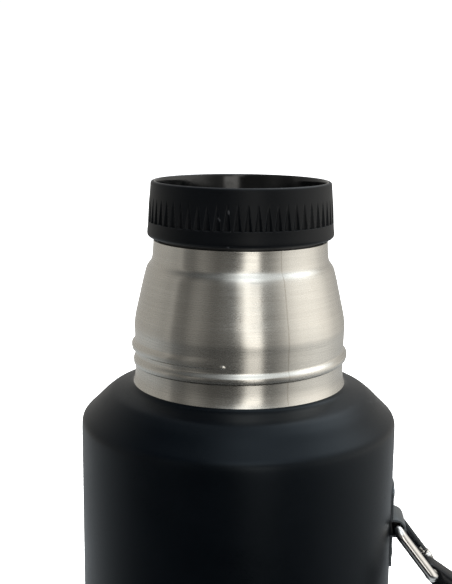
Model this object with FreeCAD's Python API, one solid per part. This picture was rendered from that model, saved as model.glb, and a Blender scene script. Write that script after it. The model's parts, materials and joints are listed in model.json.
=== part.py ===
# Vacuum growler: double-wall steel bottle with a powder-coated body, a bare
# brushed-steel neck with a rolled cup thread, a ribbed screw stopper with a
# dished top, and a side carry handle hung from two lugs by gated wire clips.
# Millimetres, +Z up, origin at the centre of the base on the bottle's axis,
# handle towards +X.
import FreeCAD, Part
import math
import os
from FreeCAD import Vector as V

os.makedirs("parts", exist_ok=True)

# ---------------------------------------------------------------- dimensions
BODY_R = 62.5          # powder-coated body, outside radius
PAINT_Z = 185.0        # height of the line where the coat stops
WALL_OUT = 0.8         # outer shell wall
WALL_NECK = 0.6        # bare neck wall
WALL_IN = 0.6          # liner wall
RIM_Z = PAINT_Z + 56.2     # steel mouth rim
MOUTH_R = 32.85        # bore of the mouth recess
MOUTH_DEEP = 5.0       # depth of the recess down to the sealing ledge
NECK_BORE_R = 31.0     # bore of the liner's neck
LINER_R = 58.6         # liner, outside radius
CUP_THREAD_PITCH = 5.5     # rolled thread for the drinking cup, right-hand
CUP_THREAD_CREST_R = 42.65
STOP_PITCH = 5.0       # stopper thread, right-hand
STOP_CREST_R = 30.6
STOP_ROOT_R = 29.3
LINER_CREST_R = 29.75
HEAD_TOP_Z = PAINT_Z + 79.0
SKIRT_Z = PAINT_Z + 57.6
RING_BORE_R = 33.9
FLUTES = 60
LUG_W = 15.6           # lug strip width
LUG_T = 0.9            # lug sheet thickness
ARCH_OUT = 5.85         # how far the lug's pressed arch stands off the body
ARCH_LOW, ARCH_HIGH = -3.4, 4.1    # arch, outside, from the clip's hinge axis
CLIP_X = 65.0          # clip hinge axis, from the bottle's axis
CLIP_Z = 126.5         # upper clip hinge axis height
LUG_GAP = 98.0         # lower hinge axis is this much lower
WIRE_R = 2.1          # clip wire radius
CLIP_L = 24.5          # clip length between its two cross-bars
CLIP_HALF = 10.15        # half distance between the clip's two arms
BEND_R = 3.0           # wire bend radius, centre line
LINK_DEG = 52.5        # clips hang this far below horizontal
GATE_R = 1.95
GATE_OFF = -0.3       # gate's centre line, from the wire's plane
GATE_TIP = 4.6         # gate's free end, measured along the clip
GATE_PIVOT = 19.0
PIN_R = 0.6
EYE_R = 2.2           # bore of the handle's eyes
EYE_HALF = 5.0         # half width of the handle at its eyes
GRIP_HALF = 9.0        # half width of the handle at the grip
HANDLE_T = 13.5        # handle thickness, seen from the side
HANDLE_DEG = 34.0      # slope of the handle's two arms

Z = V(0, 0, 1)
O = V(0, 0, 0)


def rz(r, z):
    return V(r, 0, z)


def line(a, b):
    return Part.LineSegment(a, b).toShape()


def curve(pts):
    c = Part.BSplineCurve()
    c.interpolate(Points=[rz(*p) for p in pts])
    return c


def inside(c, d, n):
    # points of curve c moved by d towards its left-hand side in the RZ plane
    out = []
    a, b = c.FirstParameter, c.LastParameter
    for i in range(n + 1):
        u = a + (b - a) * i / n
        p = c.value(u)
        t = c.tangent(u)[0]
        t.normalize()
        out.append((p.x - t.z * d, p.z + t.x * d))
    return out


def spin(edges):
    w = Part.Wire(Part.__sortEdges__(edges))
    return Part.Face(w).revolve(O, Z, 360)


def poly_spin(pts):
    vs = [rz(*p) for p in pts]
    return spin([line(vs[i], vs[(i + 1) % len(vs)]) for i in range(len(vs))])


def solid(s):
    if s.ShapeType == "Solid":
        return s
    if len(s.Solids) == 1:
        return s.Solids[0]
    return s


def put(name, s):
    s = s.removeSplitter() if name not in NO_REFINE else s
    bad = [x for x in s.Solids if not x.isValid()]
    print("%-22s solids %d valid %s vol %.0f box %s" % (
        name, len(s.Solids), not bad and s.isValid(), s.Volume,
        [round(v, 1) for v in (s.BoundBox.XMin, s.BoundBox.XMax, s.BoundBox.YMin,
                               s.BoundBox.YMax, s.BoundBox.ZMin, s.BoundBox.ZMax)]))
    s.exportStep("parts/" + name + ".step")


NO_REFINE = {"neck_shell", "inner_liner", "stopper_body", "upper_clip", "lower_clip"}


def helix_ridge(r_root, r_crest, w_root, w_crest, pitch, z0, deg0, deg1):
    # right-hand helical ridge; r_root is the hidden side, r_crest the free side
    turns = (deg1 - deg0) / 360.0
    h = Part.makeHelix(pitch, pitch * turns, min(r_root, r_crest), 0.0)
    pts = [V(r_root, 0, -w_root / 2), V(r_crest, 0, -w_crest / 2),
           V(r_crest, 0, w_crest / 2), V(r_root, 0, w_root / 2)]
    prof = Part.Wire([line(pts[i], pts[(i + 1) % 4]) for i in range(4)])
    s = Part.Wire(h).makePipeShell([prof], True, True)
    s.rotate(O, Z, deg0)
    s.translate(V(0, 0, z0))
    return solid(s)


# ------------------------------------------------------------- outer bottle
P = PAINT_Z
neck_pts = [(42.03, 0.0), (41.66, 1.0), (41.38, 2.2), (41.21, 3.6), (41.14, 5.4),
            (41.15, 8.0), (41.22, 12.0), (41.33, 17.0), (41.44, 20.5), (41.52, 22.6),
            (41.28, 25.3), (40.73, 28.5), (39.98, 31.7), (39.31, 34.8), (38.58, 38.0),
            (37.89, 41.1), (37.42, 43.0), (36.85, 45.0), (36.2, 46.4), (35.45, 47.4),
            (34.85, 48.3), (34.52, 49.5), (34.36, 50.8), (34.22, 52.4), (34.12, 54.0),
            (34.06, 55.0), (34.05, 55.6), (34.05, 56.2)]
neck_pts = [(r, z + P) for r, z in neck_pts]
neck_c = curve(neck_pts)
neck_in = [(p[0], p[1]) for p in inside(neck_c, WALL_NECK, 40)]
neck_in[0] = (neck_in[0][0], P)
neck_in[-1] = (neck_pts[-1][0] - WALL_NECK, RIM_Z)
neck_ic = curve(neck_in)
neck_shell = spin([neck_c.toShape(), neck_ic.toShape(),
                   line(rz(*neck_pts[-1]), rz(*neck_in[-1])),
                   line(rz(*neck_pts[0]), rz(*neck_in[0]))])
ridge = helix_ridge(41.0, CUP_THREAD_CREST_R, 4.8, 1.6, CUP_THREAD_PITCH,
                    P + 10.2 + CUP_THREAD_PITCH * (150 - 270) / 360.0, 153.5, 623.5)
neck_shell = neck_shell.fuse(ridge)
put("neck_shell", solid(neck_shell))

sh_pts = [(42.03, 0.0), (42.55, -0.7), (43.4, -1.25), (44.8, -1.72), (47.0, -2.35),
          (49.2, -3.0), (50.7, -3.6), (51.9, -4.35), (53.0, -5.2), (54.32, -6.3),
          (56.63, -8.6), (58.89, -10.95), (60.3, -12.5), (61.2, -13.75), (61.85, -15.2),
          (62.2, -16.9), (62.38, -19.0), (62.48, -21.5), (BODY_R, -24.0), (BODY_R, -27.0), (BODY_R, -30.0)]
sh_pts = [(r, z + P) for r, z in sh_pts]
sh_c = curve(sh_pts)
sh_in = inside(sh_c, -WALL_OUT, 40)
sh_in[0] = (neck_in[0][0], P)
sh_in[-1] = (BODY_R - WALL_OUT, sh_pts[-1][1])
sh_ic = curve(sh_in)
FOOT = 7.7                     # foot rounding
LIP_R = BODY_R - FOOT          # where the rounding meets the base opening
foot_c = rz(BODY_R - FOOT, 0.8 + FOOT)
k = math.sqrt(0.5)
foot_o = Part.Arc(rz(BODY_R, 0.8 + FOOT), foot_c + rz(FOOT * k, -FOOT * k), rz(LIP_R, 0.8)).toShape()
fi = FOOT - WALL_OUT
foot_i = Part.Arc(rz(BODY_R - WALL_OUT, 0.8 + FOOT), foot_c + rz(fi * k, -fi * k),
                  rz(LIP_R, 0.8 + WALL_OUT)).toShape()
outer_shell = spin([sh_c.toShape(), sh_ic.toShape(), line(rz(*sh_pts[0]), rz(*sh_in[0])),
                    line(rz(*sh_pts[-1]), rz(BODY_R, 0.8 + FOOT)), foot_o,
                    line(rz(*sh_in[-1]), rz(BODY_R - WALL_OUT, 0.8 + FOOT)), foot_i,
                    line(rz(LIP_R, 0.8), rz(LIP_R, 0.8 + WALL_OUT))])
put("outer_shell", solid(outer_shell))

# base plate: a shallow dish let into the foot, with a dimple for the seal tip
put("base_plate", poly_spin([(0, 5.2), (7.0, 5.2), (9.0, 4.0), (53.0, 4.0), (54.0, 3.0), (54.0, 0.8),
                             (54.8, 0.8), (54.8, 3.4), (53.4, 4.8), (9.3, 4.8), (7.3, 6.0), (0, 6.0)]))
put("foot_pad", poly_spin([(0, 0), (52.6, 0), (53.4, 0.8), (53.4, 2.4), (52.9, 4.0), (9.0, 4.0), (7.0, 4.0),
                           (5.0, 3.0), (0, 3.0)]))
put("vacuum_seal_tip", poly_spin([(0, 3.4), (3.2, 3.4), (4.2, 4.2), (4.2, 5.2), (0, 5.2)]))

# ------------------------------------------------------------------- liner
li_pts = [(31.6, P + 12.0), (31.6, P + 10.0), (31.6, P + 8.0), (31.8, P + 5.6), (32.6, P + 3.2), (34.3, P + 0.6), (38.2, P - 3.2),
          (44.0, P - 8.0), (50.0, P - 13.0), (54.6, P - 17.4), (57.4, P - 22.0), (58.35, P - 26.0),
          (LINER_R, P - 30.0), (LINER_R, P - 32.0), (LINER_R, P - 34.0)]
li_c = curve(li_pts)
li_in = inside(li_c, -WALL_IN, 30)
li_in[0] = (NECK_BORE_R, P + 12.0)
li_in[-1] = (LINER_R - WALL_IN, P - 34.0)
li_ic = curve(li_in)
LB = 20.0                      # the liner's body ends here, at its welded base
LIP_OUT = MOUTH_R + WALL_IN - 0.03
top_o = [(LIP_OUT, RIM_Z), (LIP_OUT, RIM_Z - MOUTH_DEEP - WALL_IN),
         (NECK_BORE_R + WALL_IN, RIM_Z - MOUTH_DEEP - WALL_IN), (NECK_BORE_R + WALL_IN, P + 12.0)]
top_i = [(MOUTH_R, RIM_Z), (MOUTH_R, RIM_Z - MOUTH_DEEP), (NECK_BORE_R, RIM_Z - MOUTH_DEEP),
         (NECK_BORE_R, P + 12.0)]
edges = [li_c.toShape(), li_ic.toShape(), line(rz(*top_o[0]), rz(*top_i[0]))]
for q in (top_o, top_i):
    edges += [line(rz(*q[i]), rz(*q[i + 1])) for i in range(3)]
edges += [line(rz(LINER_R, P - 34.0), rz(LINER_R, LB)),
          line(rz(LINER_R - WALL_IN, P - 34.0), rz(LINER_R - WALL_IN, LB)),
          line(rz(LINER_R, LB), rz(LINER_R - WALL_IN, LB))]
liner = spin(edges)
LINER_T0 = P + 37.0            # internal thread starts here, at 0 degrees
liner_ridge = helix_ridge(NECK_BORE_R + 0.3, LINER_CREST_R, 2.7, 1.1, STOP_PITCH, LINER_T0, 0, 700)
liner = liner.fuse(liner_ridge)
put("inner_liner", solid(liner))

# liner base: dished cap, butt-welded to the liner's lower edge
lb_o = [rz(LINER_R, LB), rz(LINER_R, 17.5)]
arc_o = Part.Arc(rz(LINER_R, 17.5), rz(LINER_R - 7 * (1 - k), 17.5 - 7 * k), rz(LINER_R - 7, 10.5)).toShape()
arc_i = Part.Arc(rz(LINER_R - WALL_IN, 17.5), rz(LINER_R - 7 + 6.4 * k, 17.5 - 6.4 * k),
                 rz(LINER_R - 7, 11.1)).toShape()
put("liner_base", solid(spin([
    line(lb_o[0], lb_o[1]), arc_o, line(rz(LINER_R - 7, 10.5), rz(40, 10.5)),
    line(rz(40, 10.5), rz(0, 12.5)), line(rz(0, 12.5), rz(0, 13.1)),
    line(rz(0, 13.1), rz(40, 11.1)), line(rz(40, 11.1), rz(LINER_R - 7, 11.1)), arc_i,
    line(rz(LINER_R - WALL_IN, 17.5), rz(LINER_R - WALL_IN, LB)), line(rz(LINER_R - WALL_IN, LB), lb_o[0])])))

# getter tablet and the spot-welded strip that holds it under the liner base
gx = 46.0
strip = Part.makeBox(15.0, 5.0, 0.4, V(gx - 7.5, -2.5, 10.1))
strip = strip.fuse(Part.makeBox(0.4, 5.0, 2.0, V(gx - 4.4, -2.5, 8.1))).fuse(
    Part.makeBox(0.4, 5.0, 2.0, V(gx + 4.0, -2.5, 8.1)))
strip = strip.fuse(Part.makeBox(8.8, 5.0, 0.4, V(gx - 4.4, -2.5, 7.8)))
put("getter_clip", solid(strip))
put("getter", Part.makeBox(7.6, 4.4, 1.6, V(gx - 3.8, -2.2, 8.3)))

# ---------------------------------------------------------------- stopper
ring_pts = [(34.2, 79.0), (34.75, 78.75), (35.02, 78.1), (35.12, 77.0), (35.25, 75.4), (35.45, 73.0),
            (35.66, 71.0), (35.82, 68.5), (35.95, 66.0), (36.1, 63.0), (36.22, 61.2),
            (36.42, 59.2), (36.25, 58.2), (35.7, 57.6)]
ring_pts = [(r, z + P) for r, z in ring_pts]
ring = poly_spin(ring_pts + [(34.6, SKIRT_Z), (34.4, SKIRT_Z + 1.0), (RING_BORE_R, SKIRT_Z + 1.2),
                             (RING_BORE_R, HEAD_TOP_Z)])


def tri(z, r_apex, r_out, half):
    a, b, c = V(r_apex, 0, z), V(r_out, -half, z), V(r_out, half, z)
    return Part.Wire([line(a, b), line(b, c), line(c, a)])


zb, zt = P + 63.7, P + 73.0
tool = Part.makeLoft([tri(zb, 35.25, 36.45, 1.55 * 1.20), tri(zt, 35.42, 36.45, 1.55 * 0.73)], True, True)
tools = []
for i in range(FLUTES):
    t = tool.copy()
    t.rotate(O, Z, 1.9 + i * 360.0 / FLUTES)
    tools.append(t)
ring = ring.cut(Part.makeCompound(tools))
put("stopper_grip_ring", solid(ring))

DISH_FLOOR = P + 64.0
put("stopper_dish", poly_spin([(0, DISH_FLOOR - 2.0), (RING_BORE_R, DISH_FLOOR - 2.0), (RING_BORE_R, HEAD_TOP_Z - 0.15),
                               (33.6, HEAD_TOP_Z), (33.35, HEAD_TOP_Z - 0.25), (33.2, HEAD_TOP_Z - 1.2),
                               (32.1, DISH_FLOOR + 3.6), (31.2, DISH_FLOOR + 1.2), (29.4, DISH_FLOOR + 0.25),
                               (27.0, DISH_FLOOR), (0, DISH_FLOOR)]))

PB = P + 26.0                  # underside of the plug
FL = P + 59.0
body = poly_spin([(0, DISH_FLOOR - 2.0), (RING_BORE_R, DISH_FLOOR - 2.0), (RING_BORE_R, FL), (32.35, FL),
                  (32.35, P + 53.2), (30.9, P + 53.2), (30.9, P + 51.5), (STOP_ROOT_R, P + 50.6),
                  (STOP_ROOT_R, PB + 1.5), (STOP_ROOT_R - 1.5, PB), (27.0, PB), (27.0, P + 59.6), (0, P + 59.6)])
# plug thread runs midway between the turns of the liner's thread
plug_ridge = helix_ridge(STOP_ROOT_R - 0.3, STOP_CREST_R, 2.7, 1.1, STOP_PITCH,
                         LINER_T0 - 1.5 * STOP_PITCH, 0, 800)
body = body.fuse(plug_ridge)
put("stopper_body", solid(body))
put("stopper_foam_core", poly_spin([(0, PB + 2.6), (26.8, PB + 2.6), (26.8, P + 59.4), (0, P + 59.4)]))
put("stopper_bottom_cap", poly_spin([(0, PB + 0.2), (26.0, PB + 0.2), (27.0, PB + 0.7), (27.0, PB + 2.4), (0, PB + 2.4)]))
put("mouth_gasket", poly_spin([(31.1, RIM_Z - MOUTH_DEEP + 0.35), (31.4, RIM_Z - MOUTH_DEEP + 0.03), (32.3, RIM_Z - MOUTH_DEEP + 0.03),
                               (32.6, RIM_Z - MOUTH_DEEP + 0.35), (32.6, P + 52.85), (32.3, P + 53.17),
                               (31.4, P + 53.17), (31.1, P + 52.85)]))

# ---------------------------------------------------------------- lug parts


def hood(x0, x1, z0, z1, r, big, half):
    # the arch seen from the side: flat underside, small lower corner r, wide
    # upper curve big; extruded along Y
    a = math.sqrt(0.5)
    e = [line(V(x0, -half, z0), V(x1 - r, -half, z0)),
         Part.Arc(V(x1 - r, -half, z0), V(x1 - r + r * a, -half, z0 + r - r * a), V(x1, -half, z0 + r)).toShape(),
         line(V(x1, -half, z0 + r), V(x1, -half, z1 - big)),
         Part.Arc(V(x1, -half, z1 - big), V(x1 - big + big * a, -half, z1 - big + big * a),
                  V(x1 - big, -half, z1)).toShape(),
         line(V(x1 - big, -half, z1), V(x0, -half, z1)),
         line(V(x0, -half, z1), V(x0, -half, z0))]
    return Part.Face(Part.Wire(e)).extrude(V(0, 2 * half, 0))


LUG_LOW, LUG_HIGH = -17.2, 17.0      # strip ends, from the hinge axis
STUD_LOW, STUD_HIGH = -12.8, 12.6    # studs, from the hinge axis


def lug(zc):
    half = LUG_W / 2
    shell = Part.makeCylinder(BODY_R + LUG_T, LUG_HIGH - LUG_LOW, V(0, 0, zc + LUG_LOW)).cut(
        Part.makeCylinder(BODY_R, LUG_HIGH - LUG_LOW + 2, V(0, 0, zc + LUG_LOW - 1)))
    blank = Part.makeBox(20, LUG_W, LUG_HIGH - LUG_LOW, V(50, -half, zc + LUG_LOW))
    blank = blank.makeFillet(3.5, [e for e in blank.Edges if abs(e.tangentAt(e.FirstParameter).x) > 0.9])
    strip = shell.common(blank)
    x1 = BODY_R + ARCH_OUT
    outer = hood(BODY_R - 1.0, x1, zc + ARCH_LOW, zc + ARCH_HIGH, 1.7, 4.6, half)
    inner = hood(BODY_R - 3, x1 - LUG_T, zc + ARCH_LOW + LUG_T, zc + ARCH_HIGH - LUG_T, 0.7, 3.3, half + 1)
    s = strip.fuse(outer.cut(Part.makeCylinder(BODY_R, 30, V(0, 0, zc - 15)))).cut(inner)
    for dz in (STUD_LOW, STUD_HIGH):
        s = s.cut(Part.makeCylinder(1.55, 6, V(60, 0, zc + dz), V(1, 0, 0)))
    return solid(s)


def studs(zc):
    out = []
    for dz in (STUD_LOW, STUD_HIGH):
        x0 = BODY_R + LUG_T
        # shank and domed head, revolved about the stud's own axis
        pts = [(BODY_R, 0), (BODY_R, 1.5), (x0, 1.5), (x0, 2.3), (x0 + 0.12, 2.3),
               (x0 + 0.28, 1.9), (x0 + 0.38, 1.3), (x0 + 0.43, 0.65), (x0 + 0.45, 0)]
        vs = [V(a, 0, b) for a, b in pts]
        prof = Part.Wire([line(vs[i], vs[(i + 1) % len(vs)]) for i in range(len(vs))])
        stud = solid(Part.Face(prof).revolve(O, V(1, 0, 0), 360))
        stud.translate(V(0, 0, zc + dz))
        out.append(stud)
    return Part.makeCompound(out)


# ------------------------------------------------------------------- clips
cd, sd = math.cos(math.radians(LINK_DEG)), math.sin(math.radians(LINK_DEG))
S_AX, Y_AX, N_AX = V(cd, 0, -sd), V(0, 1, 0), V(sd, 0, cd)


def place(s, zc):
    # from (along the clip, across, out of its plane) to the bottle's frame
    m = FreeCAD.Matrix(S_AX.x, Y_AX.x, N_AX.x, CLIP_X,
                       S_AX.y, Y_AX.y, N_AX.y, 0,
                       S_AX.z, Y_AX.z, N_AX.z, zc, 0, 0, 0, 1)
    return s.transformed(m, copy=True)


def clip_wire():
    L, H, R = CLIP_L, CLIP_HALF, BEND_R
    a = R * math.sqrt(0.5)
    nose, stub = 4.2, L - 3.3

    def arc(cx, cy, sx, sy, first):
        # quarter bend about (cx, cy); its ends lie along s (sx) and along y (sy)
        p, q = V(cx + sx * R, cy, 0), V(cx, cy + sy * R, 0)
        m = V(cx + sx * a, cy + sy * a, 0)
        return (Part.Arc(p, m, q) if first else Part.Arc(q, m, p)).toShape()

    e = [line(V(nose, H, 0), V(R, H, 0)),
         arc(R, H - R, -1, 1, False),
         line(V(0, H - R, 0), V(0, -(H - R), 0)),
         arc(R, -(H - R), -1, -1, True),
         line(V(R, -H, 0), V(L - R, -H, 0)),
         arc(L - R, -(H - R), 1, -1, False),
         line(V(L, -(H - R), 0), V(L, H - R, 0)),
         arc(L - R, H - R, 1, 1, True),
         line(V(L - R, H, 0), V(stub, H, 0))]
    path = Part.Wire(e)
    prof = Part.Wire([Part.makeCircle(WIRE_R, V(nose, H, 0), V(1, 0, 0))])
    wire = solid(path.makePipeShell([prof], True, True))
    # flat tongue for the gate's fork
    t = Part.makeBox(stub + 0.6 - GATE_PIVOT, 2.8, 1.4, V(GATE_PIVOT, H - 1.4, GATE_OFF - 0.7))
    t = t.fuse(Part.makeCylinder(1.4, 1.4, V(GATE_PIVOT, H, GATE_OFF - 0.7), V(0, 0, 1)))
    t = t.cut(Part.makeCylinder(PIN_R, 8, V(GATE_PIVOT, H, -4), V(0, 0, 1)))
    return solid(wire.fuse(t))


def gate():
    H = CLIP_HALF
    g = Part.makeCylinder(GATE_R, GATE_PIVOT + 4 - GATE_TIP, V(GATE_TIP, H, GATE_OFF), V(1, 0, 0))
    tip = [ed for ed in g.Edges if abs(ed.BoundBox.XMax - GATE_TIP) < 0.01 and ed.BoundBox.XLength < 0.01]
    g = g.makeFillet(0.5, tip)
    # rounded fork end about the pivot
    keep = Part.makeBox(GATE_PIVOT - GATE_TIP + 1, 8, 8, V(GATE_TIP - 1, H - 4, GATE_OFF - 4)).fuse(
        Part.makeCylinder(GATE_R, 8, V(GATE_PIVOT, H, GATE_OFF - 4), V(0, 0, 1)))
    g = g.common(keep)
    g = g.cut(Part.makeBox(12, 8, 1.6, V(GATE_PIVOT - 1.8, H - 4, GATE_OFF - 0.8)))
    g = g.cut(Part.makeCylinder(PIN_R + 0.05, 8, V(GATE_PIVOT, H, GATE_OFF - 4), V(0, 0, 1)))
    return solid(g)


def gate_pin():
    p = Part.makeCylinder(PIN_R, 3.8, V(GATE_PIVOT, CLIP_HALF, GATE_OFF - 1.9), V(0, 0, 1))
    return p


clip_s, gate_s, pin_s = clip_wire(), gate(), gate_pin()
for pre, zc in (("upper", CLIP_Z), ("lower", CLIP_Z - LUG_GAP)):
    put(pre + "_lug", lug(zc))
    put(pre + "_lug_studs", studs(zc))
    put(pre + "_clip", place(clip_s, zc))
    put(pre + "_clip_gate", place(gate_s, zc))
    put(pre + "_gate_pin", place(pin_s, zc))

# ------------------------------------------------------------------ handle
EX = CLIP_X + CLIP_L * cd                 # upper eye
EZ = CLIP_Z - CLIP_L * sd
REF = 33.5                                # the arm's datum, further down the clip's line
HX = CLIP_X + REF * cd
HZ = CLIP_Z - REF * sd
ca, sa = math.cos(math.radians(HANDLE_DEG)), math.sin(math.radians(HANDLE_DEG))
MID = EZ - LUG_GAP / 2
TOP_V = 5.95                              # datum to the handle's top edge


def hp(u, v):
    # u along the upper arm from the eye, v square to it (up)
    return V(HX + ca * u + sa * v, 0, HZ - sa * u + ca * v)


def link_pt(s, n):
    return V(CLIP_X + cd * s + sd * n, 0, CLIP_Z - sd * s + cd * n)


ARM_U, BEND_IN = 20.0, 22.0               # arm's straight run; inner bend radius
vi = TOP_V - HANDLE_T                     # underside of the arm
bend_out = BEND_IN + HANDLE_T
turn = math.radians(90 - HANDLE_DEG)
bc = hp(ARM_U, vi - BEND_IN)              # centre of the bend


def bend_pt(radius, ang):
    # ang from the arm's normal towards +X
    d = V(sa * math.cos(ang) + ca * math.sin(ang), 0, ca * math.cos(ang) - sa * math.sin(ang))
    return bc + d * radius


grip_out, grip_in = bend_pt(bend_out, turn), bend_pt(BEND_IN, turn)
top_line = hp(-11.0, TOP_V)
left_a, left_b = link_pt(21.4, -2.4), link_pt(25.5, -3.9)
EYE_WALL = 4.6
half_outer = [
    Part.Arc(grip_out, bend_pt(bend_out, turn / 2), bend_pt(bend_out, 0)).toShape(),
    line(bend_pt(bend_out, 0), top_line),
]
nose_pts = [top_line, hp(-12.1, TOP_V - 0.7), link_pt(20.3, 0.1), left_a]
nose = Part.BSplineCurve()
nose.interpolate(Points=nose_pts)
half_outer.append(nose.toShape())
eye_left = link_pt(REF - 3.2, -3.3)
eye_bot = hp(-1.2, -EYE_WALL + 0.15)
low = Part.BSplineCurve()
low.interpolate(Points=[left_a, left_b, eye_left, link_pt(REF + 0.8, -4.6), link_pt(REF + 4.0, -2.6),
                        hp(5.2, -5.1), hp(9.0, vi)])
half_outer.append(low.toShape())
half_outer += [line(hp(9.0, vi), bend_pt(BEND_IN, 0)),
               Part.Arc(bend_pt(BEND_IN, 0), bend_pt(BEND_IN, turn / 2), grip_in).toShape()]
mid_out, mid_in = V(grip_out.x, 0, MID), V(grip_in.x, 0, MID)
upper_half = half_outer + [line(grip_in, mid_in), line(mid_in, mid_out), line(mid_out, grip_out)]
upper_face = Part.Face(Part.Wire(Part.__sortEdges__(upper_half)))


# the lower end is the upper one turned over
lower_face = upper_face.mirror(V(0, 0, MID), Z)
blank = []
for f in (upper_face, lower_face):
    g = f.copy()
    g.translate(V(0, -GRIP_HALF, 0))
    blank.append(g.extrude(V(0, 2 * GRIP_HALF, 0)))
handle = blank[0].fuse(blank[1]).removeSplitter()
# plan shape: narrow at the eyes, full width at the grip
x0, x1, xe = HX + 6.0, HX + 21.0, grip_out.x + 1
plan_curve = [V(x0 + (x1 - x0) * t, EYE_HALF + (GRIP_HALF - EYE_HALF) * t * t * (3 - 2 * t), 0)
              for t in (0, 0.1, 0.25, 0.4, 0.6, 0.75, 0.9, 1)]
c1 = Part.BSplineCurve()
c1.interpolate(Points=plan_curve)
c2 = Part.BSplineCurve()
c2.interpolate(Points=[V(q.x, -q.y, 0) for q in reversed(plan_curve)])
plan = Part.Wire([line(V(60, EYE_HALF, 0), V(x0, EYE_HALF, 0)), c1.toShape(),
                  line(V(x1, GRIP_HALF, 0), V(xe, GRIP_HALF, 0)), line(V(xe, GRIP_HALF, 0), V(xe, -GRIP_HALF, 0)),
                  line(V(xe, -GRIP_HALF, 0), V(x1, -GRIP_HALF, 0)), c2.toShape(),
                  line(V(x0, -EYE_HALF, 0), V(60, -EYE_HALF, 0)), line(V(60, -EYE_HALF, 0), V(60, EYE_HALF, 0))])
plan_s = Part.Face(plan).extrude(V(0, 0, 200))
handle = handle.common(plan_s)
try:
    rounded = handle.makeFillet(2.2, [e for e in handle.Edges if e.Length > 3.0])
    if rounded.isValid() and rounded.Volume > 0.8 * handle.Volume:
        handle = rounded
        print("handle edges rounded")
except Exception as err:
    print("handle fillet skipped:", err)
for zc in (EZ, EZ - LUG_GAP):
    handle = handle.cut(Part.makeCylinder(EYE_R, 40, V(EX, -20, zc), V(0, 1, 0)))
put("carry_handle", solid(handle))
print("eye", round(EX, 3), round(EZ, 3), "grip x", round(grip_in.x, 2), round(grip_out.x, 2), "mid", round(MID, 2))
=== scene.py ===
import bpy
import bmesh
import json
import math
import numpy as np
from mathutils import Matrix, Vector


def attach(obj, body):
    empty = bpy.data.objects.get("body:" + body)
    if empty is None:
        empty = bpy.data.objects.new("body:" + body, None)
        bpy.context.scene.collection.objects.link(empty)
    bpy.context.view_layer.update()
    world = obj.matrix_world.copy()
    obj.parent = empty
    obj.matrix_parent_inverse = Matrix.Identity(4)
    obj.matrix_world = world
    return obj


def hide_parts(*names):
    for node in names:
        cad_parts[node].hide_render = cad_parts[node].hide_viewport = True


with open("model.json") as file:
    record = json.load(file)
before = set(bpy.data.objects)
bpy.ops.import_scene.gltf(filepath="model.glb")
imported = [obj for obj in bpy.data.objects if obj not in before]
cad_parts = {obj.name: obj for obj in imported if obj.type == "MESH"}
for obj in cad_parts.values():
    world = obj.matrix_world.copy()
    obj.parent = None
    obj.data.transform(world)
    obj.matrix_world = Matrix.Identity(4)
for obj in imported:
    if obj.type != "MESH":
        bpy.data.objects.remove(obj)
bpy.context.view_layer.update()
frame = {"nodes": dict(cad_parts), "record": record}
nodes = frame["nodes"]
scn = bpy.context.scene
MM = 0.001
P = 185.0                      # height of the coat's edge

# ------------------------------------------------------------------ camera
cam_data = bpy.data.cameras.new("view_camera")
cam = bpy.data.objects.new("view_camera", cam_data)
scn.collection.objects.link(cam)
TURN = math.radians(3.6)


def turned(v):
    c, s = math.cos(TURN), math.sin(TURN)
    return Vector((c * v[0] - s * v[1], s * v[0] + c * v[1], v[2]))


fwd0 = Vector((-0.01337261, 0.9821336, -0.18770923)).normalized()
yaw, roll = math.radians(0.780), math.radians(0.575)
right0 = Vector((math.cos(yaw), math.sin(yaw), 0.0))
right0 = (right0 - fwd0 * right0.dot(fwd0)).normalized()
up0 = right0.cross(fwd0)
r2 = math.cos(roll) * right0 + math.sin(roll) * up0
u2 = -math.sin(roll) * right0 + math.cos(roll) * up0
loc = turned((0.0, -0.402257, 0.296904))
R, U, F = turned(r2), turned(u2), turned(fwd0)
cam.matrix_world = Matrix(((R.x, U.x, -F.x, loc.x), (R.y, U.y, -F.y, loc.y),
                           (R.z, U.z, -F.z, loc.z), (0, 0, 0, 1)))
cam_data.sensor_width = 36.0
cam_data.sensor_fit = "AUTO"
cam_data.lens = 1037.65 * 36.0 / 584.0
cam_data.clip_start = 0.01
scn.camera = cam

# ------------------------------------------------------------- mesh helpers


def curve_points(pts, n):
    # natural cubic spline through pts, by chord length, n points
    p = np.array(pts, float)
    t = np.concatenate([[0], np.cumsum(np.linalg.norm(np.diff(p, axis=0), axis=1))])
    m = len(p)
    A = np.zeros((m, m))
    b = np.zeros((m, p.shape[1]))
    A[0, 0] = A[-1, -1] = 1.0
    h = np.diff(t)
    for i in range(1, m - 1):
        A[i, i - 1], A[i, i], A[i, i + 1] = h[i - 1], 2 * (h[i - 1] + h[i]), h[i]
        b[i] = 6 * ((p[i + 1] - p[i]) / h[i] - (p[i] - p[i - 1]) / h[i - 1])
    M = np.linalg.solve(A, b)
    u = np.linspace(0, t[-1], n)
    k = np.clip(np.searchsorted(t, u, side="right") - 1, 0, m - 2)
    d0, d1, hk = u - t[k], t[k + 1] - u, h[k]
    return (M[k] * (d1 ** 3 / (6 * hk))[:, None] + M[k + 1] * (d0 ** 3 / (6 * hk))[:, None]
            + (p[k] / hk[:, None] - M[k] * (hk / 6)[:, None]) * d1[:, None]
            + (p[k + 1] / hk[:, None] - M[k + 1] * (hk / 6)[:, None]) * d0[:, None])


def inward(pts, d):
    # points moved by d towards the left of the direction of travel
    p = np.array(pts, float)
    t = np.gradient(p, axis=0)
    t /= np.linalg.norm(t, axis=1)[:, None]
    return np.stack([p[:, 0] - t[:, 1] * d, p[:, 1] + t[:, 0] * d], 1)


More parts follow.
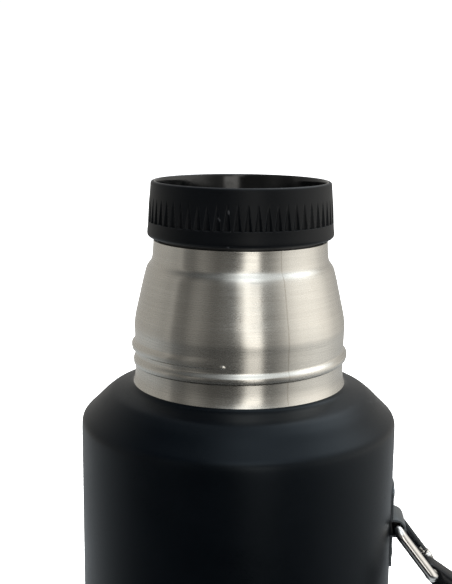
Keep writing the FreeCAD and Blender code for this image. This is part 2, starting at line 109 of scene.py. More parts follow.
def corner(pts, r, k=4):
    # closed loop of (r, z) points with every corner softened by radius-like cut r
    p = np.array(pts, float)
    out = []
    m = len(p)
    for i in range(m):
        a, b, c = p[i - 1], p[i], p[(i + 1) % m]
        u, v = a - b, c - b
        lu, lv = np.linalg.norm(u), np.linalg.norm(v)
        if b[0] < 1e-9:
            out.append(tuple(b))
            continue
        e = min(r, 0.45 * lu, 0.45 * lv)
        p0, p2 = b + u / lu * e, b + v / lv * e
        for j in range(k + 1):
            t = j / k
            out.append(tuple((1 - t) ** 2 * p0 + 2 * t * (1 - t) * b + t * t * p2))
    return out


def new_object(name, verts, faces, sharp=None):
    me = bpy.data.meshes.new(name)
    me.from_pydata([tuple(v) for v in verts], [], faces)
    me.update()
    bm = bmesh.new()
    bm.from_mesh(me)
    bmesh.ops.remove_doubles(bm, verts=bm.verts, dist=1e-7)
    bmesh.ops.recalc_face_normals(bm, faces=bm.faces)
    bm.to_mesh(me)
    bm.free()
    me.shade_smooth()
    if sharp:
        me.set_sharp_from_angle(angle=math.radians(sharp))
    ob = bpy.data.objects.new(name, me)
    scn.collection.objects.link(ob)
    return ob


def lathe(name, loop, seg=192, move=None, sharp=None, closed=True):
    # loop: (r, z) in mm, a closed ring, or a line that starts and ends on the axis
    loop = [tuple(q) for q in loop]
    n = len(loop)
    th = np.linspace(0, 2 * np.pi, seg, endpoint=False)
    verts, index = [], []
    for i, (r, z) in enumerate(loop):
        if r < 1e-9:
            index.append([len(verts)] * seg)
            verts.append((0, 0, z * MM))
            continue
        rr, zz = np.full(seg, r), np.full(seg, z)
        if move:
            rr, zz = move(i, th, rr, zz)
        row = []
        for a, q, w in zip(th, rr, zz):
            row.append(len(verts))
            verts.append((q * math.cos(a) * MM, q * math.sin(a) * MM, w * MM))
        index.append(row)
    faces = []
    for i in range(n if closed else n - 1):
        a, b = index[i], index[(i + 1) % n]
        if a[0] == a[-1] and b[0] == b[-1]:
            continue
        for j in range(seg):
            k = (j + 1) % seg
            f = [a[j], a[k], b[k], b[j]]
            f = [v for q, v in enumerate(f) if v not in f[:q]]
            faces.append(f)
    return new_object(name, verts, faces, sharp)


def smooth01(x):
    x = np.clip(x, 0, 1)
    return x * x * (3 - 2 * x)


# ---------------------------------------------------------------- materials


class Mat:
    def __init__(self, name):
        self.m = bpy.data.materials.new(name)
        self.m.use_nodes = True
        self.t = self.m.node_tree
        self.t.nodes.clear()
        self.out = self.node("ShaderNodeOutputMaterial")
        self.b = self.node("ShaderNodeBsdfPrincipled")
        self.link(self.b.outputs[0], self.out.inputs[0])
        self.co = self.node("ShaderNodeTexCoord").outputs["Object"]

    def node(self, kind, **kw):
        n = self.t.nodes.new(kind)
        for k, v in kw.items():
            setattr(n, k, v)
        return n

    def link(self, a, b):
        self.t.links.new(a, b)

    def put(self, sock, v):
        if hasattr(v, "is_linked") or hasattr(v, "links"):
            self.link(v, sock)
        else:
            sock.default_value = v

    def scaled(self, s):
        n = self.node("ShaderNodeMapping")
        self.link(self.co, n.inputs["Vector"])
        n.inputs["Scale"].default_value = s
        return n.outputs[0]

    def noise(self, scale, detail=3.0, rough=0.5, vec=None):
        n = self.node("ShaderNodeTexNoise")
        self.link(vec or self.co, n.inputs["Vector"])
        n.inputs["Scale"].default_value = scale
        n.inputs["Detail"].default_value = detail
        n.inputs["Roughness"].default_value = rough
        return n.outputs["Fac"]

    def voronoi(self, scale, vec=None):
        n = self.node("ShaderNodeTexVoronoi")
        self.link(vec or self.co, n.inputs["Vector"])
        n.inputs["Scale"].default_value = scale
        return n.outputs["Distance"]

    def math(self, op, a, b=0.0, c=None, clamp=False):
        n = self.node("ShaderNodeMath", operation=op, use_clamp=clamp)
        self.put(n.inputs[0], a)
        self.put(n.inputs[1], b)
        if c is not None:
            self.put(n.inputs[2], c)
        return n.outputs[0]

    def remap(self, v, lo, hi, a=0.0, b=1.0):
        n = self.node("ShaderNodeMapRange")
        self.put(n.inputs["Value"], v)
        n.inputs["From Min"].default_value = a
        n.inputs["From Max"].default_value = b
        n.inputs["To Min"].default_value = lo
        n.inputs["To Max"].default_value = hi
        return n.outputs["Result"]

    def mix(self, f, a, b):
        n = self.node("ShaderNodeMix", data_type="RGBA")
        self.put(n.inputs["Factor"], f)
        n.inputs["A"].default_value = (*a, 1) if isinstance(a, tuple) else (0, 0, 0, 1)
        n.inputs["B"].default_value = (*b, 1) if isinstance(b, tuple) else (0, 0, 0, 1)
        if not isinstance(a, tuple):
            self.link(a, n.inputs["A"])
        if not isinstance(b, tuple):
            self.link(b, n.inputs["B"])
        return n.outputs["Result"]

    def bump(self, h, strength, dist, normal=None):
        n = self.node("ShaderNodeBump")
        self.link(h, n.inputs["Height"])
        n.inputs["Strength"].default_value = strength
        n.inputs["Distance"].default_value = dist
        if normal is not None:
            self.link(normal, n.inputs["Normal"])
        return n.outputs["Normal"]

    def edge(self, lo, hi):
        g = self.node("ShaderNodeNewGeometry")
        return self.remap(g.outputs["Pointiness"], 0.0, 1.0, lo, hi)

    def put_in(self, **kw):
        for k, v in kw.items():
            self.put(self.b.inputs[k.replace("_", " ")], v)


def coat(name, dark, light, rough, spec, grain=2600.0, bump=0.12, wear=0.25):
    # powder coat: fine pebble, faint clouding, rubbed edges
    m = Mat(name)
    cloud = m.noise(38.0, 4.0, 0.6)
    fine = m.noise(grain, 2.0, 0.6)
    peb = m.voronoi(grain * 0.55)
    col = m.mix(m.remap(cloud, 0.0, 1.0, 0.3, 0.7), dark, light)
    e = m.edge(0.53, 0.62)
    col = m.mix(m.math("MULTIPLY", m.math("MULTIPLY", e, m.remap(m.noise(700.0), 0, 1, 0.45, 0.65)), wear), col, (0.09, 0.095, 0.10))
    m.link(col, m.b.inputs["Base Color"])
    rg = m.math("ADD", m.remap(cloud, rough - 0.03, rough + 0.03, 0.3, 0.7), m.remap(fine, -0.05, 0.05, 0.3, 0.7))
    m.link(rg, m.b.inputs["Roughness"])
    h = m.math("ADD", m.math("MULTIPLY", fine, 0.6), m.math("MULTIPLY", peb, 0.5))
    m.link(m.bump(h, bump, 0.00012), m.b.inputs["Normal"])
    m.put_in(Specular_IOR_Level=spec, Specular_Tint=(0.88, 1.0, 1.08, 1))
    return m.m


def plastic(name, dark, light, rough, spec, grain=1500.0, bump=0.1, lines=False):
    m = Mat(name)
    cloud = m.noise(60.0, 3.0, 0.55)
    fine = m.noise(grain, 2.0, 0.65)
    col = m.mix(m.remap(cloud, 0.0, 1.0, 0.3, 0.7), dark, light)
    e = m.edge(0.52, 0.60)
    col = m.mix(m.math("MULTIPLY", e, 0.3), col, (0.07, 0.072, 0.076))
    m.link(col, m.b.inputs["Base Color"])
    m.link(m.math("ADD", m.remap(fine, rough - 0.05, rough + 0.05, 0.3, 0.7), m.remap(cloud, -0.03, 0.03, 0.3, 0.7)), m.b.inputs["Roughness"])
    m.link(m.bump(fine, bump, 0.00008), m.b.inputs["Normal"])
    m.put_in(Specular_IOR_Level=spec)
    return m.m


def brushed(name, base, rough, aniso, seam=False, z_scale=5200.0, depth=0.00003, strength=0.16):
    # steel brushed round the bottle's axis
    m = Mat(name)
    streak = m.noise(1.0, 3.0, 0.65, m.scaled((46.0, 46.0, z_scale)))
    coarse = m.noise(1.0, 2.0, 0.5, m.scaled((24.0, 24.0, 900.0)))
    cloud = m.noise(55.0, 3.0, 0.6)
    dots = m.noise(1.0, 2.0, 0.5, m.scaled((900.0, 900.0, 6000.0)))
    c0 = tuple(x * 0.80 for x in base)
    c1 = tuple(min(1.0, x * 1.07) for x in base)
    f = m.math("ADD", m.math("MULTIPLY", streak, 0.45), m.math("MULTIPLY", coarse, 0.25))
    f = m.math("ADD", f, m.math("MULTIPLY", dots, 0.3))
    col = m.mix(m.remap(f, 0.0, 1.0, 0.34, 0.66), c0, c1)
    col = m.mix(m.remap(cloud, 0.0, 0.35, 0.35, 0.75), col, (base[0] * 1.02, base[1] * 0.985, base[2] * 0.95))
    if seam:
        sx = m.node("ShaderNodeSeparateXYZ")
        m.link(m.co, sx.inputs[0])
        ang = m.math("ARCTAN2", sx.outputs[1], sx.outputs[0])
        d = m.math("ABSOLUTE", m.math("ADD", ang, math.radians(60.6)))
        line = m.math("SUBTRACT", 1.0, m.math("DIVIDE", d, 0.0085), clamp=True)
        line = m.math("MULTIPLY", line, m.remap(coarse, 0.25, 0.6, 0.3, 0.7))
        col = m.mix(line, col, (0.20, 0.16, 0.11))
    m.link(col, m.b.inputs["Base Color"])
    m.put_in(Metallic=1.0)
    m.link(m.math("ADD", m.remap(streak, rough - 0.05, rough + 0.05, 0.3, 0.7),
                  m.remap(dots, -0.03, 0.03, 0.3, 0.7)), m.b.inputs["Roughness"])
    m.put_in(Anisotropic=aniso, Anisotropic_Rotation=0.25)
    tan = m.node("ShaderNodeTangent", direction_type="RADIAL", axis="Z")
    m.link(tan.outputs[0], m.b.inputs["Tangent"])
    h = m.math("ADD", streak, m.math("MULTIPLY", dots, 0.5))
    m.link(m.bump(h, strength, depth), m.b.inputs["Normal"])
    return m.m


def polished(name, base, rough):
    # polished stainless wire: bright, with fine handling scratches and dull specks
    m = Mat(name)
    cloud = m.noise(420.0, 3.0, 0.6)
    scr = m.noise(1.0, 2.0, 0.7, m.scaled((9000.0, 700.0, 5200.0)))
    col = m.mix(m.remap(cloud, 0.0, 1.0, 0.3, 0.7), tuple(x * 0.9 for x in base), base)
    m.link(col, m.b.inputs["Base Color"])
    m.put_in(Metallic=1.0)
    m.link(m.math("ADD", m.remap(scr, rough - 0.03, rough + 0.07, 0.3, 0.7), m.remap(cloud, 0.0, 0.05, 0.45, 0.7)), m.b.inputs["Roughness"])
    h = m.math("ADD", m.math("MULTIPLY", scr, 0.4), cloud)
    m.link(m.bump(h, 0.12, 0.00006), m.b.inputs["Normal"])
    return m.m


def plain(name, dark, light, rough, spec=0.5, scale=900.0, bump=0.15, metal=0.0):
    m = Mat(name)
    a, b = m.noise(scale, 3.0, 0.6), m.noise(scale * 0.06, 3.0, 0.6)
    m.link(m.mix(m.remap(m.math("ADD", a, b), 0.0, 1.0, 0.7, 1.3), dark, light), m.b.inputs["Base Color"])
    m.link(m.remap(a, rough - 0.06, rough + 0.06, 0.3, 0.7), m.b.inputs["Roughness"])
    m.link(m.bump(a, bump, 0.0001), m.b.inputs["Normal"])
    m.put_in(Metallic=metal, Specular_IOR_Level=spec)
    return m


mat = {}
mat["powder_coat"] = coat("powder_coat", (0.0001, 0.0006, 0.0014), (0.0003, 0.0009, 0.0020), 0.34, 0.18)
mat["base_steel"] = coat("base_coat", (0.0003, 0.0008, 0.0016), (0.0006, 0.0011, 0.0022), 0.40, 0.22)
# same black powder coat as the body, with its base colour lifted to a dark grey: painted light standing in for the lit
# top face of the pressed lug
mat["lug_coat"] = coat("lug_coat", (0.020, 0.022, 0.023), (0.030, 0.033, 0.034), 0.36, 0.75, grain=2200.0, bump=0.10, wear=0.6)
mat["gate_coat"] = coat("gate_coat", (0.0008, 0.0011, 0.0016), (0.0014, 0.0018, 0.0024), 0.24, 0.36, grain=2000.0, bump=0.05, wear=0.08)
mat["brushed_steel"] = brushed("brushed_steel", (0.665, 0.64, 0.59), 0.26, 0.93, seam=True)
mat["liner_steel"] = brushed("liner_steel", (0.66, 0.65, 0.63), 0.20, 0.45)
mat["pin_steel"] = polished("pin_steel", (0.55, 0.55, 0.54), 0.30)
mat["clip_wire"] = polished("clip_wire", (0.74, 0.72, 0.69), 0.13)
mat["handle_plastic"] = plastic("handle_plastic", (0.0006, 0.0011, 0.0019), (0.0014, 0.0020, 0.0030), 0.30, 0.22, grain=1900.0, bump=0.08)
mat["stopper_matte"] = plastic("stopper_matte", (0.0001, 0.0006, 0.0013), (0.0004, 0.0010, 0.0020), 0.42, 0.17, grain=3000.0, bump=0.16)
mat["stopper_gloss"] = plastic("stopper_gloss", (0.0016, 0.0018, 0.002), (0.0028, 0.003, 0.0033), 0.09, 0.5, grain=320.0, bump=0.015)
mat["plug_plastic"] = plastic("plug_plastic", (0.006, 0.0065, 0.007), (0.010, 0.0105, 0.011), 0.38, 0.5, grain=1400.0, bump=0.08)
mat["foot_rubber"] = plain("foot_rubber", (0.010, 0.010, 0.011), (0.018, 0.018, 0.019), 0.72, 0.35, 1300.0, 0.25).m
mat["getter_metal"] = plain("getter_metal", (0.34, 0.34, 0.35), (0.48, 0.48, 0.49), 0.6, 0.5, 5000.0, 0.4, metal=0.8).m
mat["foam"] = plain("foam", (0.70, 0.66, 0.55), (0.88, 0.85, 0.76), 0.9, 0.2, 2400.0, 0.8).m
g = plain("gasket_silicone", (0.50, 0.51, 0.50), (0.62, 0.63, 0.62), 0.42, 0.45, 1100.0, 0.08)
g.put_in(Subsurface_Weight=0.35, Subsurface_Scale=0.0012)
mat["gasket_silicone"] = g.m
g = plain("solder_glass", (0.16, 0.18, 0.18), (0.26, 0.29, 0.28), 0.22, 0.5, 1800.0, 0.2)
g.put_in(Coat_Weight=0.4, Coat_Roughness=0.1)
mat["solder_glass"] = g.m

slots = {s["node"]: s["material_slot"] for s in frame["record"]["subparts"]}


def paint(ob, slot):
    ob.data.materials.clear()
    ob.data.materials.append(mat[slot])
    return ob


for name, ob in nodes.items():
    paint(ob, slots[name])


def stand_in(ob, body, slot, *replaced):
    paint(ob, slot)
    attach(ob, body)
    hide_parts(*replaced)
    return ob


# ------------------------------------------------------------- steel neck
neck_pts = [(42.03, 0.0), (41.66, 1.0), (41.38, 2.2), (41.21, 3.6), (41.14, 5.4),
            (41.15, 8.0), (41.22, 12.0), (41.33, 17.0), (41.44, 20.5), (41.52, 22.6),
            (41.28, 25.3), (40.73, 28.5), (39.98, 31.7), (39.31, 34.8), (38.58, 38.0),
            (37.89, 41.1), (37.42, 43.0), (36.85, 45.0), (36.2, 46.4), (35.45, 47.4),
            (34.85, 48.3), (34.52, 49.5), (34.36, 50.8), (34.22, 52.4), (34.12, 54.0),
            (34.06, 55.0), (34.05, 55.6), (34.05, 56.2)]
fine = curve_points([(r, z + P) for r, z in neck_pts], 2400)
z_no = np.concatenate([np.linspace(0.0, 6.4, 26), np.arange(6.5, 20.6, 0.11), np.linspace(20.7, 56.2, 120)]) + P
no = np.stack([np.interp(z_no, fine[:, 1], fine[:, 0]), z_no], 1)
no[0] = (42.03, P)
ni = inward(no, 0.6)[::9]
ni[0] = (ni[0][0], P)
ni[-1] = (33.45, P + 56.2)
rim = [(34.02, P + 56.2), (33.9, P + 56.24), (33.6, P + 56.24)]
neck_loop = [tuple(q) for q in no[:-1]] + [(34.05, P + 56.12)] + rim + [tuple(q) for q in ni[::-1]]
# rolled cup thread: height of its sharp lower edge over the coat's edge, by angle
TH_A = [150, 175, 193, 214, 227, 241, 254, 265, 282, 303, 317, 337, 360, 400, 450, 513, 553, 572, 588, 601, 611, 620, 640]
TH_Z = [6.6, 6.95, 7.3, 7.72, 7.98, 8.2, 8.36, 8.48, 8.62, 8.88, 9.08, 9.4, 9.78, 10.45, 11.3, 12.4, 13.02, 13.3, 13.62,
        13.84, 13.94, 14.0, 14.1]


def ridge(i, th, rr, zz):
    if i >= len(no):
        return rr, zz
    z = zz[0] - P
    best = np.zeros_like(rr)
    for k in (0, 1):
        T = np.degrees(th) + 360.0 * k
        zl = np.interp(T, TH_A, TH_Z)
        ends = smooth01((T - 160.0) / 62.0) * smooth01((626.0 - T) / 72.0) ** 0.8
        up = smooth01((z - zl + 0.12) / 0.85) * (0.82 + 0.18 * smooth01((z - zl) / 1.9))
        best = np.maximum(best, up * (1.0 - smooth01((z - zl - 2.3) / 2.1)) * ends)
    rr = rr + best * np.maximum(0.0, 42.62 - rr)
    # run-out dimple of the forming roller
    d = np.hypot((np.degrees(th) - 265.3) * math.pi / 180.0 * 41.3, z - 15.1)
    return rr + 0.42 * smooth01((0.95 - d) / 0.9), zz


neck = lathe("neck_skin", neck_loop, seg=540, move=ridge, sharp=50)
stand_in(neck, "bottle", "brushed_steel", "neck_shell")

# ------------------------------------------------------------ coated shell
sh_pts = [(42.03, 0.0), (42.55, -0.7), (43.4, -1.25), (44.8, -1.72), (47.0, -2.35),
          (49.2, -3.0), (50.7, -3.6), (51.9, -4.35), (53.0, -5.2), (54.32, -6.3),
          (56.63, -8.6), (58.97, -10.9), (60.25, -12.1), (61.3, -13.15), (61.98, -14.15),
          (62.33, -15.35), (62.46, -17.0), (62.5, -19.2), (62.5, -22.5), (62.5, -27.0), (62.5, -30.0)]
so = curve_points([(r, z + P) for r, z in sh_pts], 130)
si = inward(so, -0.8)[::5]
si[0] = (41.43, P)
walls = [(62.5, P - 30.0 - (P - 30.0 - 8.5) * t) for t in (0.15, 0.3, 0.45, 0.6, 0.75, 0.9, 1.0)]
foot = [(54.8 + 7.7 * math.cos(a), 8.5 - 7.7 * math.sin(a)) for a in np.linspace(0, math.pi / 2, 15)]
foot_in = [(54.8 + 6.9 * math.cos(a), 8.5 - 6.9 * math.sin(a)) for a in np.linspace(math.pi / 2, 0, 9)]
shell_loop = ([tuple(q) for q in so] + walls + foot[1:] + foot_in + [(61.7, 60.0), (61.7, 120.0)]
              + [tuple(q) for q in si[::-1]])
shell = lathe("coated_shell", shell_loop, seg=360, sharp=50)
stand_in(shell, "bottle", "powder_coat", "outer_shell")

# ---------------------------------------------------------------- stopper
ring_pts = [(34.2, 79.0), (34.75, 78.75), (35.02, 78.1), (35.12, 77.0), (35.25, 75.4), (35.45, 73.0),
            (35.66, 71.0), (35.82, 68.5), (35.95, 66.0), (36.1, 63.0), (36.22, 61.2),
            (36.42, 59.2), (36.25, 58.2), (35.7, 57.6)]
zb, zt = P + 63.7, P + 73.2
out_c = curve_points([(r, z + P) for r, z in ring_pts], 400)
z_rows = np.concatenate([np.linspace(P + 79.0, zt + 0.4, 26), np.linspace(zt + 0.1, zb + 0.7, 34),
                         np.array([zb + 0.35, zb + 0.18, zb + 0.08, zb, zb - 0.08, zb - 0.18, zb - 0.4]),
                         np.linspace(zb - 0.7, P + 57.6, 28)])
order = np.argsort(out_c[:, 1])
ro = np.interp(z_rows, out_c[order, 1], out_c[order, 0])
ring_loop = list(zip(ro, z_rows)) + [(34.65, P + 57.62), (34.4, P + 58.6), (33.95, P + 58.8), (33.9, P + 59.2),
                                     (33.9, P + 78.7), (34.0, P + 78.92)]
FLUTE_SHIFT = 1.9


def flutes(i, th, rr, zz):
    if i >= len(ro):
        return rr, zz
    z = zz[0]
    t = (z - zb) / (zt - zb)                       # 0 at the ledge, 1 at the points
    if t < -0.012 or t > 1.0:
        return rr, zz
    d = 0.92 * (1 - max(t, 0.0)) ** 0.8 * float(smooth01((t + 0.012) / 0.014))
    half = 1.52 * (1 - 0.86 * max(t, 0.0) ** 1.05)  # half width at the surface, mm
    arc = (np.degrees(th) - FLUTE_SHIFT) % 6.0
    u = np.abs(np.where(arc > 3.0, arc - 6.0, arc)) * math.pi / 180.0 * 36.0
    f = np.clip((half - u) / (half * 0.62), 0, 1)
    f = np.where(f < 1, f ** 0.9, 1)
    return rr - d * f, zz


ring = lathe("grip_ring", ring_loop, seg=1200, move=flutes, sharp=32)
stand_in(ring, "stopper", "stopper_matte", "stopper_grip_ring")

DF = P + 64.0
dish_line = [(0, DF - 2.0), (33.6, DF - 2.0), (33.88, DF - 1.7), (33.88, P + 78.6), (33.8, P + 78.9), (33.66, P + 78.99), (33.5, P + 78.96),
             (33.36, P + 78.75), (33.2, P + 77.8)]
wall = curve_points([(33.2, P + 77.8), (32.75, DF + 8.6), (32.1, DF + 3.6), (31.2, DF + 1.2), (29.4, DF + 0.25), (27.0, DF)], 30)
dish_line += [tuple(q) for q in wall[1:]] + [(20.0, DF), (12.0, DF), (5.0, DF), (0, DF)]
dish = lathe("dished_top", dish_line, seg=256, sharp=60, closed=False)
stand_in(dish, "stopper", "stopper_gloss", "stopper_dish")

# ------------------------------------------------------------------- clips
CX, CZ, L, G = 65.0, 126.5, 24.5, 98.0
H, WR, BR = 10.15, 2.1, 3.0
LINK = math.radians(52.5)
S_AX = Vector((math.cos(LINK), 0, -math.sin(LINK)))
Y_AX = Vector((0, 1, 0))
N_AX = Vector((math.sin(LINK), 0, math.cos(LINK)))


def clip_path():
    pts = [(4.2, H, 0.0), (3.6, H, 0.0)]

    def bend(cx, cy, a0, a1, n=14):
        for a in np.linspace(math.radians(a0), math.radians(a1), n):
            pts.append((cx + BR * math.cos(a), cy + BR * math.sin(a), 0.0))

    bend(BR, H - BR, 90, 180)
    for y in np.linspace(H - BR, -(H - BR), 8)[1:-1]:
        pts.append((0.0, y, 0.0))
    bend(BR, -(H - BR), 180, 270)
    for s in np.linspace(BR, L - BR, 14)[1:-1]:
        pts.append((s, -H, 0.0))
    bend(L - BR, -(H - BR), -90, 0)
    for y in np.linspace(-(H - BR), H - BR, 8)[1:-1]:
        pts.append((L, y, 0.0))
    bend(L - BR, H - BR, 0, 90)
    return pts


def wire_clip(name, zc):
    path = [Vector(p) for p in clip_path()]
    rings = []                                    # (centre, tangent, half width in plane, half height)
    tan = [(path[min(i + 1, len(path) - 1)] - path[max(i - 1, 0)]).normalized() for i in range(len(path))]
    n = len(path)
    for k, q in ((0.0, 0.55), (0.12, 0.78), (0.3, 0.93), (0.5, 1.0)):   # rounded nose
        rings.append((path[0] - tan[0] * (-k), Vector((-1, 0, 0)), WR * q, WR * q, 0.0))
    rings = [(Vector((4.2 - k, H, 0)), Vector((-1, 0, 0)), WR * q, WR * q, 0.0) for k, q in ((0.0, 0.62), (0.1, 0.8), (0.25, 0.93), (0.45, 1.0))]
    for i in range(1, n):
        rings.append((path[i], tan[i] if i < n - 1 else Vector((-1, 0, 0)), WR, WR, 0.0))
    # shoulder and flat tab that goes into the gate's fork
    st = L - 3.3
    for s, a, b in ((st + 0.12, WR, WR), (st + 0.02, WR * 0.93, WR * 0.93), (st - 0.02, 1.5, 0.85), (st - 0.12, 1.4, 0.7),
                    (19.9, 1.4, 0.7), (19.0, 1.38, 0.7), (18.4, 1.2, 0.7), (18.0, 0.9, 0.68), (17.72, 0.5, 0.62)):
        rings.append((Vector((s, H, 0)), Vector((-1, 0, 0)), a, b, -0.3 if a < 1.6 else 0.0))
    seg = 40
    verts, idx = [], []
    for c, t, a, b, off in rings:
        side = t.cross(Vector((0, 0, 1))).normalized()
        row = []
        for j in range(seg):
            w = 2 * math.pi * j / seg
            cw, sw = math.cos(w), math.sin(w)
            if a < 1.6:                            # squarer section on the tab
                cw = math.copysign(abs(cw) ** 0.45, cw)
                sw = math.copysign(abs(sw) ** 0.45, sw)
            q = c + side * (a * cw) + Vector((0, 0, b * sw + off))
            q = Vector((CX, 0, zc)) + S_AX * q.x + Y_AX * q.y + N_AX * q.z
            row.append(len(verts))
            verts.append(q * MM)
        idx.append(row)
    faces = []
    for a, b in zip(idx, idx[1:]):
        for j in range(seg):
            k = (j + 1) % seg
            faces.append([a[j], a[k], b[k], b[j]])
    faces.append(idx[0][::-1])
    faces.append(idx[-1])
    return new_object(name, verts, faces, sharp=50)


for pre, zc in (("upper", CZ), ("lower", CZ - G)):
    stand_in(wire_clip(pre + "_wire_loop", zc), pre + "_clip", "clip_wire", pre + "_clip")


def softened(node, name, body, slot, width, segs=3, angle=28.0):
    # copy of a pressed or turned part with its edges broken
    src = nodes[node]
    bm = bmesh.new()
    bm.from_mesh(src.data)
    bmesh.ops.remove_doubles(bm, verts=bm.verts, dist=2e-6)
    bmesh.ops.dissolve_limit(bm, angle_limit=math.radians(0.6), verts=bm.verts, edges=bm.edges)
    me = bpy.data.meshes.new(name)
    bm.to_mesh(me)
    bm.free()
    me.shade_smooth()
    ob = bpy.data.objects.new(name, me)
    scn.collection.objects.link(ob)
    mod = ob.modifiers.new("edge", "BEVEL")
    mod.width = width * MM
    mod.segments = segs
    mod.limit_method = "ANGLE"
    mod.angle_limit = math.radians(angle)
    mod.use_clamp_overlap = True
    mod.harden_normals = True
    bpy.context.view_layer.update()
    dg = bpy.context.evaluated_depsgraph_get()
    done = bpy.data.meshes.new_from_object(ob.evaluated_get(dg))
    ob.modifiers.clear()
    ob.data = done
    return stand_in(ob, body, slot, node)


for pre in ("upper", "lower"):
    softened(pre + "_lug", pre + "_pressed_lug", "bottle", "lug_coat", 0.22)
    softened(pre + "_clip_gate", pre + "_gate_bar", pre + "_gate", "gate_coat", 0.14, 2)

# ------------------------------------------------------------------ handle
HX, HZ = CX + L * S_AX.x, CZ + L * S_AX.z


def moulded_handle():
    src = nodes["carry_handle"]
    me = src.data.copy()
    ob = bpy.data.objects.new("moulded_handle", me)
    scn.collection.objects.link(ob)
    rm = ob.modifiers.new("skin", "REMESH")
    rm.mode = "VOXEL"
    rm.voxel_size = 0.55 * MM
    bpy.context.view_layer.update()
    dg = bpy.context.evaluated_depsgraph_get()
    done = bpy.data.meshes.new_from_object(ob.evaluated_get(dg))
    ob.modifiers.clear()
    ob.data = done
    n = len(done.vertices)
    co = np.zeros(n * 3)
    done.vertices.foreach_get("co", co)
    co = co.reshape(-1, 3) / MM
    first = co.copy()
    ed = np.zeros(len(done.edges) * 2, int)
    done.edges.foreach_get("vertices", ed)
    ed = ed.reshape(-1, 2)
    deg = np.bincount(ed.ravel(), minlength=n)[:, None]
    lo, hi = first.min(0), first.max(0)
    for it in range(46):
        s = np.zeros_like(co)
        np.add.at(s, ed[:, 0], co[ed[:, 1]])
        np.add.at(s, ed[:, 1], co[ed[:, 0]])
        co += 0.5 * (s / deg - co)
        for zc in (HZ, HZ - G):                    # keep the eyes' bores true
            dx, dz = co[:, 0] - HX, co[:, 2] - zc
            r = np.hypot(dx, dz)
            m = (r < 2.3) & (r > 1e-6)
            co[m, 0] = HX + dx[m] / r[m] * 2.3
            co[m, 2] = zc + dz[m] / r[m] * 2.3
    co = np.clip(co, lo, hi)
    done.vertices.foreach_set("co", (co * MM).ravel())
    done.update()
    done.shade_smooth()
    return ob


stand_in(moulded_handle(), "handle", "handle_plastic", "carry_handle")

# ------------------------------------------------------------ floor, lights
bpy.ops.mesh.primitive_plane_add(size=60.0, location=(0, 0, -0.0002))
floor = bpy.context.object
floor.name = "floor"
fm = bpy.data.materials.new("floor_paper")
fm.use_nodes = True
fb = fm.node_tree.nodes["Principled BSDF"]
fb.inputs["Base Color"].default_value = (0.92, 0.92, 0.92, 1)
fb.inputs["Roughness"].default_value = 0.9
fb.inputs["Specular IOR Level"].default_value = 0.1
fb.inputs["Emission Color"].default_value = (1, 1, 1, 1)
fb.inputs["Emission Strength"].default_value = 0.6
floor.data.materials.append(fm)
floor.visible_glossy = False

world = bpy.data.worlds.new("studio")
scn.world = world
world.use_nodes = True
wt = world.node_tree
wt.nodes.clear()


def wn(kind, **kw):
    n = wt.nodes.new(kind)
    for k, v in kw.items():
        setattr(n, k, v)
    return n


def wmath(op, a, b=0.0, clamp=False):
    n = wn("ShaderNodeMath", operation=op, use_clamp=clamp)
    for s, v in ((n.inputs[0], a), (n.inputs[1], b)):
        if isinstance(v, (int, float)):
            s.default_value = v
        else:
            wt.links.new(v, s)
    return n.outputs[0]


def ramp(value, stops):
    # piecewise levels: stops are (position 0..1, level or colour)
    n = wn("ShaderNodeValToRGB")
    n.color_ramp.interpolation = "LINEAR"
    el = n.color_ramp.elements
    while len(el) > 1:
        el.remove(el[-1])
    for i, (p, c) in enumerate(stops):
        e = el[0] if i == 0 else el.new(p)
        e.position = p
        e.color = (c[0], c[1], c[2], 1) if isinstance(c, tuple) else (c, c, c, 1)
    wt.links.new(value, n.inputs[0])
    return n.outputs[0]


tc = wn("ShaderNodeTexCoord")
sep = wn("ShaderNodeSeparateXYZ")
wt.links.new(tc.outputs["Generated"], sep.inputs[0])
wx, wy, wz = sep.outputs
ct, st_ = math.cos(TURN), math.sin(TURN)
xr = wmath("ADD", wmath("MULTIPLY", wx, ct), wmath("MULTIPLY", wy, st_))
yr = wmath("SUBTRACT", wmath("MULTIPLY", wy, ct), wmath("MULTIPLY", wx, st_))
az = wmath("ARCTAN2", xr, wmath("MULTIPLY", yr, -1.0))
az01 = wmath("ADD", wmath("MULTIPLY", az, 0.5 / math.pi), 0.5)
el01 = wmath("ADD", wmath("MULTIPLY", wmath("ARCSINE", wz), 1.0 / math.pi), 0.5)


def A(deg):
    return 0.5 + deg / 360.0


def E(deg):
    return 0.5 + deg / 180.0


# studio light as seen in reflections: levels round the horizon, clockwise from
# straight behind the camera; a dark table edge below, soft boxes at the sides and
# overhead, one narrow strip just right of the camera
LOW = [(-180, 0.62), (-151, 0.60), (-123, 0.60), (-104, 0.50), (-88, 0.27), (-74, 0.15), (-62, 0.075), (-50, 0.03), (-30, 0.004),
       (-10, 0.0), (6, 0.0), (22, 0.02), (35, 0.06), (57, 0.15), (82, 0.36), (97, 0.42), (114, 0.45), (137, 0.50), (158, 0.56)]
LEFT = [(-180, 0.50), (-138, 0.47), (-106, 0.45), (-90, 0.38), (-81, 0.44), (-75, 0.19), (-62, 0.17), (-54, 0.27), (-47, 0.29),
        (-39, 0.22), (-30, 0.15), (-14, 0.15)]
RIGHT = [(29, 0.34), (36, 0.30), (44, 0.48), (50, 0.68), (57, 1.0), (70, 1.3), (90, 1.4), (108, 1.2), (124, 0.8), (150, 0.5)]


def strip(a, b, level):
    # the slanted strip light between the left and right halves of the room
    return LEFT + [(a - 9, 0.13), (a - 4, 0.22), (a + 1, level * 0.9), (b - 1, level), (b + 4, 0.36)] + RIGHT


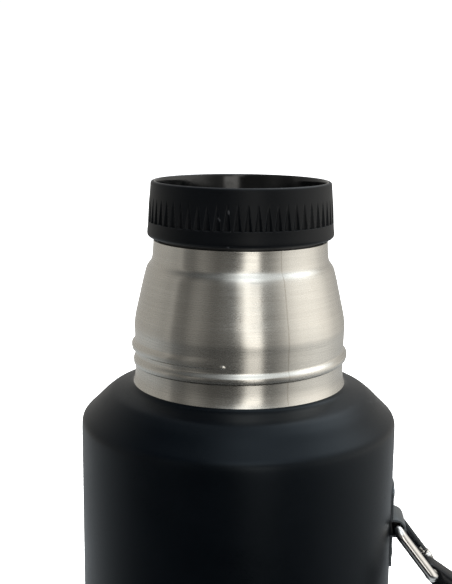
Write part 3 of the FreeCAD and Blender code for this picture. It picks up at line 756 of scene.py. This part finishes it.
HIGH = [(-180, 0.50), (-165, 0.35), (-150, 0.20), (-120, 0.14), (-90, 0.06), (-60, 0.05), (-30, 0.10), (-8, 1.2),
        (4, 2.6), (24, 2.8), (36, 1.4), (50, 1.0), (70, 1.0), (88, 2.0), (110, 3.6), (140, 3.6), (160, 1.4)]
TOP = [(-180, 1.3), (-120, 0.5), (-60, 0.35), (-20, 0.7), (0, 1.3), (30, 1.3), (60, 1.1), (120, 1.5), (150, 1.8)]
BLUE = (0.93, 1.0, 1.05)
WARM = (1.0, 0.98, 0.93)


def tinted(levels, tint):
    return [d for d, v in levels], [tuple(v * c for c in tint) for d, v in levels]


SKY = [(-64, *tinted([(-180, 0.75), (-90, 0.8), (0, 0.6), (90, 0.8)], BLUE)), (-36, *tinted(LOW, BLUE)),
       (-21, *tinted(LOW, BLUE)), (-12, *tinted(strip(9, 23, 2.2), WARM)), (6, *tinted(strip(5, 22, 2.4), WARM)),
       (26, *tinted(strip(-2, 11, 1.5), WARM)), (50, *tinted(HIGH, BLUE)), (72, *tinted(TOP, BLUE))]
PEAK = 4.0


def wmix(f, a, b):
    n = wn("ShaderNodeMix", data_type="RGBA")
    wt.links.new(f, n.inputs["Factor"])
    wt.links.new(a, n.inputs["A"])
    wt.links.new(b, n.inputs["B"])
    return n.outputs["Result"]


sky = None
for i, (el, knots, levels) in enumerate(SKY):
    stops = [(A(d), tuple(v / PEAK for v in c)) for d, c in zip(knots, levels)]
    band = ramp(az01, stops + [(1.0, stops[0][1])])
    band.node.name = "band_%d" % i
    sky = band if sky is None else wmix(ramp(el01, [(E(SKY[i - 1][0]), 0.0), (E(el), 1.0)]), sky, band)
bg_glossy = wn("ShaderNodeBackground")
wt.links.new(sky, bg_glossy.inputs["Color"])
bg_glossy.inputs["Strength"].default_value = PEAK
bg_cam = wn("ShaderNodeBackground")
bg_cam.inputs["Color"].default_value = (1, 1, 1, 1)
bg_cam.inputs["Strength"].default_value = 1.05
bg_dif = wn("ShaderNodeBackground")
bg_dif.inputs["Color"].default_value = (1, 1, 1, 1)
bg_dif.inputs["Strength"].default_value = 0.9
lp = wn("ShaderNodeLightPath")
m1 = wn("ShaderNodeMixShader")
m2 = wn("ShaderNodeMixShader")
wt.links.new(lp.outputs["Is Diffuse Ray"], m1.inputs[0])
wt.links.new(bg_glossy.outputs[0], m1.inputs[1])
wt.links.new(bg_dif.outputs[0], m1.inputs[2])
wt.links.new(lp.outputs["Is Camera Ray"], m2.inputs[0])
wt.links.new(m1.outputs[0], m2.inputs[1])
wt.links.new(bg_cam.outputs[0], m2.inputs[2])
wo = wn("ShaderNodeOutputWorld")
wt.links.new(m2.outputs[0], wo.inputs["Surface"])


def area(name, place, target, size, size_y, power, color=(1, 1, 1), glossy=True):
    d = bpy.data.lights.new(name, "AREA")
    d.shape = "RECTANGLE"
    d.size, d.size_y = size, size_y
    d.energy = power
    d.color = color
    o = bpy.data.objects.new(name, d)
    scn.collection.objects.link(o)
    o.location = place
    o.rotation_euler = (Vector(target) - Vector(place)).to_track_quat("-Z", "Y").to_euler()
    o.visible_glossy = glossy
    return o


area("overhead_panel", (0.0, 0.2, 1.9), (0, 0, 0.1), 1.8, 1.8, 60.0, glossy=False)

scn.view_settings.view_transform = "Standard"
scn.view_settings.look = "None"
scn.view_settings.exposure = 0.0
scn.view_settings.gamma = 1.0
